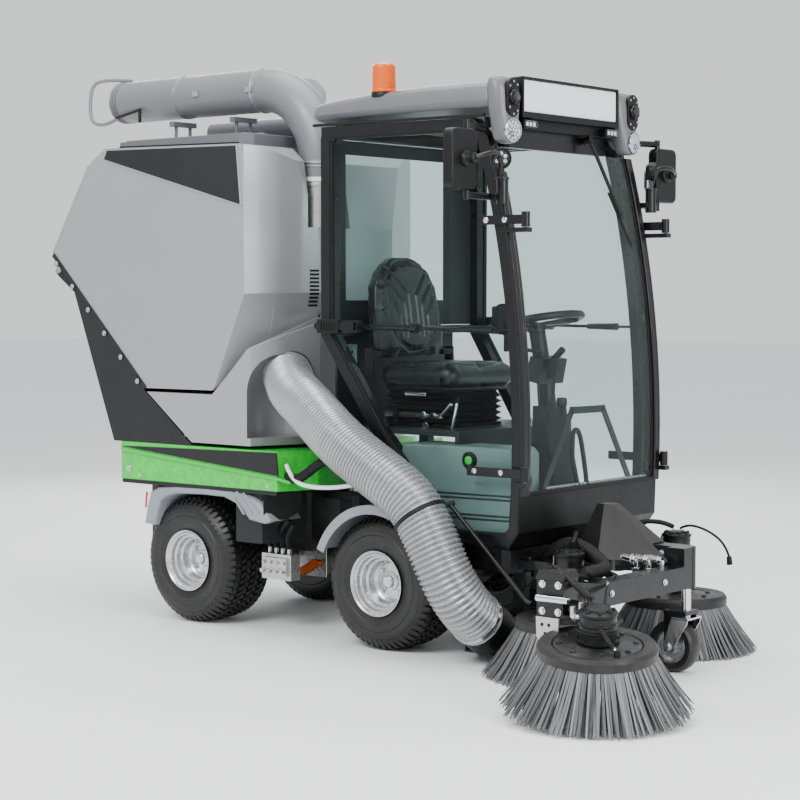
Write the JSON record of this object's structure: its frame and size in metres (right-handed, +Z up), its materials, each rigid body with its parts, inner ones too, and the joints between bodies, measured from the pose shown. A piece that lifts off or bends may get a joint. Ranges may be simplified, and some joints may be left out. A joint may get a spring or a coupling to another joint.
{
  "type": "ride on sweeper",
  "caption": "Articulated ride-on street sweeper: glazed cab, tipping hopper with roof duct, disc brushes and a swing arm brush on a caster.",
  "frame": {"origin": "on the floor under the middle of the machine's bounding box", "axes": "+X forwards, +Y to the machine's left, +Z up"},
  "size_m": [3.395, 1.9302, 2.2296],
  "materials": {
    "amber": "translucent gloss",
    "black_plastic": "fine matte grain",
    "bristle": "coarse mixed bristle",
    "duct_grey": "satin",
    "engine_metal": "rough cast",
    "fender_grey": "satin metallic grey",
    "glass": "clear, pale teal tint",
    "graphite": "satin black paint",
    "green": "semi-gloss bright green",
    "hose": "silver-grey corrugated",
    "lamp_glass": "clear",
    "rim": "satin silver paint",
    "roof_grey": "satin",
    "rubber": "matte",
    "silver": "satin metallic grey",
    "steel": "satin",
    "tank": "moulded black",
    "tyre": "satin moulded rubber",
    "vinyl": "grained black vinyl"
  },
  "bodies": {
    "front_frame": {"front_chassis": "graphite", "hinge_pins": "steel", "front_mudguards": "black_plastic", "cab_frame": "graphite", "cab_tub": "black_plastic", "cab_glass": "glass", "front_panel": "black_plastic", "cab_roof": "roof_grey", "lamp_pods": "roof_grey", "headlamps": "lamp_glass", "beacon": "amber", "steering_column": "black_plastic", "seat_base": "rubber", "side_tank": "tank", "suction_mouth": "black_plastic", "suction_hose": "hose"},
    "rear_frame": {"rear_chassis": "graphite", "rear_deck": "green", "engine_block": "engine_metal", "black_side_panels": "black_plastic", "rear_mudguards": "fender_grey", "rear_hitch": "steel", "lower_cover": "silver"},
    "hopper": {"hopper_shell": "silver", "hopper_hinges": "graphite", "hopper_trim": "graphite", "hopper_roof": "roof_grey", "boom_sleeve": "steel", "hand_tube": "duct_grey"},
    "hatch": {"hopper_hatch": "graphite"},
    "boom": {"boom_duct": "duct_grey"},
    "wheel_front_right": {"tyre_front_right": "tyre", "rim_front_right": "rim"},
    "wheel_front_left": {"tyre_front_left": "tyre", "rim_front_left": "rim"},
    "wheel_rear_right": {"tyre_rear_right": "tyre", "rim_rear_right": "rim"},
    "wheel_rear_left": {"tyre_rear_left": "tyre", "rim_rear_left": "rim"},
    "door_right": {"door_frame_right": "graphite", "door_glass_right": "glass"},
    "mirror_right": {"mirror_head_right": "black_plastic"},
    "door_left": {"door_frame_left": "graphite", "door_glass_left": "glass"},
    "mirror_left": {"mirror_head_left": "black_plastic"},
    "seat": {"seat_cushion": "vinyl"},
    "seat_backrest": {"seat_back": "vinyl"},
    "steering": {"steering_wheel": "black_plastic"},
    "pedal": {"pedals": "rubber"},
    "wiper_arm": {"wiper": "black_plastic"},
    "lift_deck": {"brush_deck": "graphite"},
    "swing_right": {"arm_right": "graphite"},
    "swing_left": {"arm_left": "graphite"},
    "swing_third": {"third_arm": "graphite", "arm_hood": "black_plastic"},
    "spin_right": {"brush_right": "bristle"},
    "spin_left": {"brush_left": "bristle"},
    "spin_third": {"brush_third": "bristle"},
    "caster": {"caster_fork": "steel"},
    "caster_roll": {"caster_wheel": "rubber"}
  },
  "joints": [
    {"name": "articulation", "type": "hinge", "parent": "front_frame", "child": "rear_frame", "pos_m": [-0.3713, 0.25713, 0.41], "axis": [0, 0, 1], "range_deg": [-30, 30], "deforming": ["suction_hose"]},
    {"name": "hopper_tip", "type": "hinge", "parent": "rear_frame", "child": "hopper", "pos_m": [-1.6163, 0.25713, 1.405], "axis": [0, -1, 0], "range_deg": [0, 50]},
    {"name": "hatch_hinge", "type": "hinge", "parent": "hopper", "child": "hatch", "pos_m": [-1.4023, 0.25713, 1.868], "axis": [0, 1, 0], "range_deg": [0, 80]},
    {"name": "boom_swing", "type": "hinge", "parent": "hopper", "child": "boom", "pos_m": [-0.4313, 0.10713, 1.8], "axis": [0, 0, -1], "range_deg": [-110, 0]},
    {"name": "wheel_front_right_spin", "type": "hinge", "parent": "front_frame", "child": "wheel_front_right", "pos_m": [0.1287, -0.09587, 0.248], "axis": [0, 1, 0], "continuous": true},
    {"name": "wheel_front_left_spin", "type": "hinge", "parent": "front_frame", "child": "wheel_front_left", "pos_m": [0.1287, 0.61013, 0.248], "axis": [0, 1, 0], "continuous": true},
    {"name": "wheel_rear_right_spin", "type": "hinge", "parent": "rear_frame", "child": "wheel_rear_right", "pos_m": [-0.8543, -0.09587, 0.248], "axis": [0, 1, 0], "continuous": true},
    {"name": "wheel_rear_left_spin", "type": "hinge", "parent": "rear_frame", "child": "wheel_rear_left", "pos_m": [-0.8543, 0.61013, 0.248], "axis": [0, 1, 0], "continuous": true},
    {"name": "door_right_hinge", "type": "hinge", "parent": "front_frame", "child": "door_right", "pos_m": [0.7767, -0.18887, 1.1], "axis": [0, 0, 1], "range_deg": [0, 75]},
    {"name": "mirror_right_turn", "type": "hinge", "parent": "door_right", "child": "mirror_right", "pos_m": [0.6397, -0.34287, 1.76], "axis": [0, 0, 1], "range_deg": [-40, 40]},
    {"name": "door_left_hinge", "type": "hinge", "parent": "front_frame", "child": "door_left", "pos_m": [0.7767, 0.70313, 1.1], "axis": [0, 0, -1], "range_deg": [0, 75]},
    {"name": "mirror_left_turn", "type": "hinge", "parent": "door_left", "child": "mirror_left", "pos_m": [0.6397, 0.85713, 1.76], "axis": [0, 0, 1], "range_deg": [-40, 40]},
    {"name": "seat_slide", "type": "slide", "parent": "front_frame", "child": "seat", "axis": [1, 0, 0], "range_m": [0, 0.08]},
    {"name": "seat_recline", "type": "hinge", "parent": "seat", "child": "seat_backrest", "pos_m": [-0.0473, 0.19713, 1.01], "axis": [0, 1, 0], "range_deg": [0, 15]},
    {"name": "steering_turn", "type": "hinge", "parent": "front_frame", "child": "steering", "pos_m": [0.54221, 0.19713, 1.20138], "axis": [-0.1909, 0, 0.9816], "range_deg": [-540, 540]},
    {"name": "pedal_press", "type": "hinge", "parent": "front_frame", "child": "pedal", "pos_m": [0.4987, 0.07713, 0.456], "axis": [0, 1, 0], "range_deg": [0, 18], "stiffness_Nm_per_rad": 12, "springref_deg": -20.05},
    {"name": "wiper_sweep", "type": "hinge", "parent": "front_frame", "child": "wiper_arm", "pos_m": [0.6287, 0.40713, 1.872], "axis": [0.9684, 0, 0.2492], "range_deg": [-70, 10]},
    {"name": "deck_lift", "type": "hinge", "parent": "front_frame", "child": "lift_deck", "pos_m": [0.6567, 0.25713, 0.35], "axis": [0, -1, 0], "range_deg": [0, 12]},
    {"name": "swing_right_arm", "type": "hinge", "parent": "lift_deck", "child": "swing_right", "pos_m": [0.7187, -0.07287, 0.33], "axis": [0, 0, 1], "range_deg": [-3, 4]},
    {"name": "swing_left_arm", "type": "hinge", "parent": "lift_deck", "child": "swing_left", "pos_m": [0.7187, 0.47713, 0.33], "axis": [0, 0, -1], "range_deg": [-4, 14]},
    {"name": "swing_third_arm", "type": "hinge", "parent": "lift_deck", "child": "swing_third", "pos_m": [0.8887, 0.15013, 0.41], "axis": [0, 0, 1], "range_deg": [-8, 22]},
    {"name": "brush_right_spin", "type": "hinge", "parent": "swing_right", "child": "spin_right", "pos_m": [0.9307, -0.14287, 0.19], "axis": [0, 0, 1], "continuous": true},
    {"name": "brush_left_spin", "type": "hinge", "parent": "swing_left", "child": "spin_left", "pos_m": [0.9307, 0.54713, 0.19], "axis": [0, 0, 1], "continuous": true},
    {"name": "brush_third_spin", "type": "hinge", "parent": "swing_third", "child": "spin_third", "pos_m": [1.4136, -0.68521, 0.23018], "axis": [0.089, -0.107, 0.9903], "continuous": true},
    {"name": "caster_swivel", "type": "hinge", "parent": "swing_third", "child": "caster", "pos_m": [1.2167, 0.15013, 0.33], "axis": [0, 0, 1], "continuous": true},
    {"name": "caster_spin", "type": "hinge", "parent": "caster", "child": "caster_roll", "pos_m": [1.1717, 0.15013, 0.092], "axis": [0, 1, 0], "continuous": true}
  ]
}
